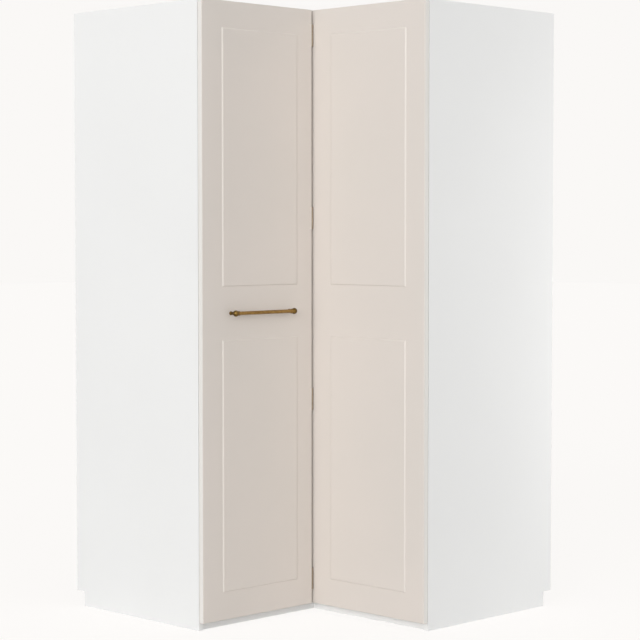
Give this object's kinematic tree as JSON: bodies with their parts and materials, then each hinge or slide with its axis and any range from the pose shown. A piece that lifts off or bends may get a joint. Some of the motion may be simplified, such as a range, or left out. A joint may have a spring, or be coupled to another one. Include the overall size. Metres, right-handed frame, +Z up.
{
  "type": "corner wardrobe",
  "caption": "L-shaped corner wardrobe closed by a folding pair of framed leaves with a bar handle; a clothes rail, a hat shelf and a shelf tower inside.",
  "frame": {"origin": "centre of the overall plan square, on the floor", "axes": "+Z up; the right leaf's front faces -Y and the left leaf's front faces +X; the rear corner points to -X and +Y"},
  "size_m": [1.147, 1.147, 2.012],
  "materials": {
    "leaf_paint": "satin painted fibreboard",
    "white_melamine": "matt white melamine on chipboard",
    "back_board": "white foil on thin fibreboard",
    "aged_brass": "brushed aged brass",
    "dark_bronze": "dark bronze",
    "nickel_steel": "nickel-plated",
    "chrome_tube": "polished",
    "white_plastic": "moulded"
  },
  "bodies": {
    "carcass": {"side_panel_left": "white_melamine", "side_panel_right": "white_melamine", "bottom_board_left": "white_melamine", "bottom_board_right": "white_melamine", "top_board_left": "white_melamine", "top_board_right": "white_melamine", "hat_shelf_left": "white_melamine", "hat_shelf_right": "white_melamine", "plinth_left": "white_melamine", "plinth_right": "white_melamine", "rear_bearer_left": "white_melamine", "rear_bearer_right": "white_melamine", "rear_corner_post": "white_melamine", "partition": "white_melamine", "rail_batten": "white_melamine", "back_batten_left": "white_melamine", "shelf_1": "white_melamine", "shelf_2": "white_melamine", "shelf_3": "white_melamine", "shelf_4": "white_melamine", "back_sheet_left_outer": "back_board", "back_sheet_left_inner": "back_board", "back_sheet_right_outer": "back_board", "back_sheet_right_inner": "back_board", "back_joint_strip": "white_plastic", "clothes_rail": "chrome_tube", "rail_socket_side": "chrome_tube", "rail_socket_rear": "chrome_tube", "rail_centre_hanger": "chrome_tube", "hinge_arm_1": "nickel_steel", "hinge_arm_2": "nickel_steel", "hinge_arm_3": "nickel_steel", "hinge_arm_4": "nickel_steel", "hinge_mounting_plate_1": "nickel_steel", "hinge_mounting_plate_2": "nickel_steel", "hinge_mounting_plate_3": "nickel_steel", "hinge_mounting_plate_4": "nickel_steel", "magnetic_catch": "white_plastic"},
    "right_leaf": {"right_leaf": "leaf_paint", "hinge_cup_1": "nickel_steel", "hinge_cup_2": "nickel_steel", "hinge_cup_3": "nickel_steel", "hinge_cup_4": "nickel_steel", "fold_hinge_right_plate_1": "dark_bronze", "fold_hinge_right_plate_2": "dark_bronze", "fold_hinge_right_plate_3": "dark_bronze", "fold_hinge_right_plate_4": "dark_bronze", "fold_hinge_pin_1": "dark_bronze", "fold_hinge_pin_2": "dark_bronze", "fold_hinge_pin_3": "dark_bronze", "fold_hinge_pin_4": "dark_bronze"},
    "left_leaf": {"left_leaf": "leaf_paint", "fold_hinge_left_plate_1": "dark_bronze", "fold_hinge_left_plate_2": "dark_bronze", "fold_hinge_left_plate_3": "dark_bronze", "fold_hinge_left_plate_4": "dark_bronze", "handle_bar": "aged_brass", "handle_post_outer": "aged_brass", "handle_post_inner": "aged_brass", "strike_plate": "nickel_steel"}
  },
  "joints": [
    {"name": "right_leaf_hinge", "type": "hinge", "parent": "carcass", "child": "right_leaf", "pos_m": [0.5685, -0.0725, 1.019], "axis": [0, 0, 1], "range_deg": [0, 110]},
    {"name": "fold_hinge", "type": "hinge", "parent": "right_leaf", "child": "left_leaf", "pos_m": [0.072, -0.0813, 1.019], "axis": [0, 0, 1], "range_deg": [0, 60]}
  ]
}
